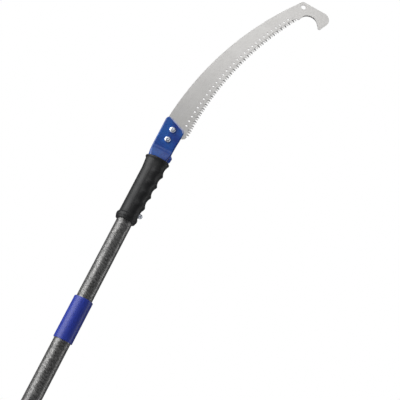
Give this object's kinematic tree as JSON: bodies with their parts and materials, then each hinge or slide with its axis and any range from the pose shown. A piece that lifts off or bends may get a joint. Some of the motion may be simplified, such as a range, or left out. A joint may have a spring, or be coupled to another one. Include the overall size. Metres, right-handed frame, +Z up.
{
  "type": "telescoping pole saw",
  "caption": "Curved hooked pruning saw on a two-section telescoping pole with a twist lock, a finger grip and a snap button that frees the saw head.",
  "frame": {"origin": "centre of the butt cap's flat end face, at the bottom of the pole", "axes": "+Z up the pole towards the blade, +X to the side that the saw teeth face, +Y away from the blade's screw heads; the blade lies in the XZ plane"},
  "size_m": [0.1815, 0.0372, 1.8935],
  "materials": {
    "pole_paint": "hammered dark and silver vein paint, semi-gloss",
    "blue_plastic": "satin moulded blue",
    "blue_paint": "glossy blue powder coat",
    "black_rubber": "soft satin black rubber with fine moulded grain",
    "black_plastic": "moulded black",
    "nylon": "natural nylon",
    "blade_steel": "brushed along the blade",
    "chrome": "bright plated",
    "zinc": "zinc plated"
  },
  "bodies": {
    "outer_pole": {"outer_tube": "pole_paint", "butt_cap": "black_rubber", "guide_sleeve": "blue_plastic", "sleeve_rivets": "zinc", "guide_bush": "nylon"},
    "glide": {"glide_sleeve": "nylon"},
    "inner_pole": {"inner_tube": "pole_paint", "lock_plug": "nylon", "plug_rivets": "zinc", "ring_washer": "zinc", "ring_screw": "zinc"},
    "lock_ring": {"lock_ring": "black_plastic"},
    "saw_head": {"ferrule": "blue_paint", "handle_core": "black_plastic", "core_rivets": "zinc", "grip": "black_rubber", "blade": "blade_steel", "blade_screws": "chrome", "lock_washers": "zinc", "blade_nuts": "zinc"},
    "button": {"snap_button": "chrome"}
  },
  "joints": [
    {"name": "telescope", "type": "slide", "parent": "outer_pole", "child": "glide", "axis": [0, 0, 1], "range_m": [-0.13, 0.8]},
    {"name": "twist", "type": "hinge", "parent": "glide", "child": "inner_pole", "pos_m": [0, 0, 0.25], "axis": [0, 0, 1], "range_deg": [-22, 22]},
    {"name": "ring_follow", "type": "hinge", "parent": "inner_pole", "child": "lock_ring", "pos_m": [0.0012, 0, 0.22], "axis": [0, 0, 1], "range_deg": [-22, 22]},
    {"name": "head_release", "type": "slide", "parent": "inner_pole", "child": "saw_head", "axis": [0, 0, 1], "range_m": [0, 0.12]},
    {"name": "button_press", "type": "slide", "parent": "saw_head", "child": "button", "axis": [-1, 0, 0], "range_m": [0, 0.0105], "stiffness_N_per_m": 1500, "springref_m": -0.002, "deforming": ["snap_button"]}
  ],
  "couplings": [
    {"joint": "ring_follow", "follows": "twist", "ratio": -1}
  ]
}
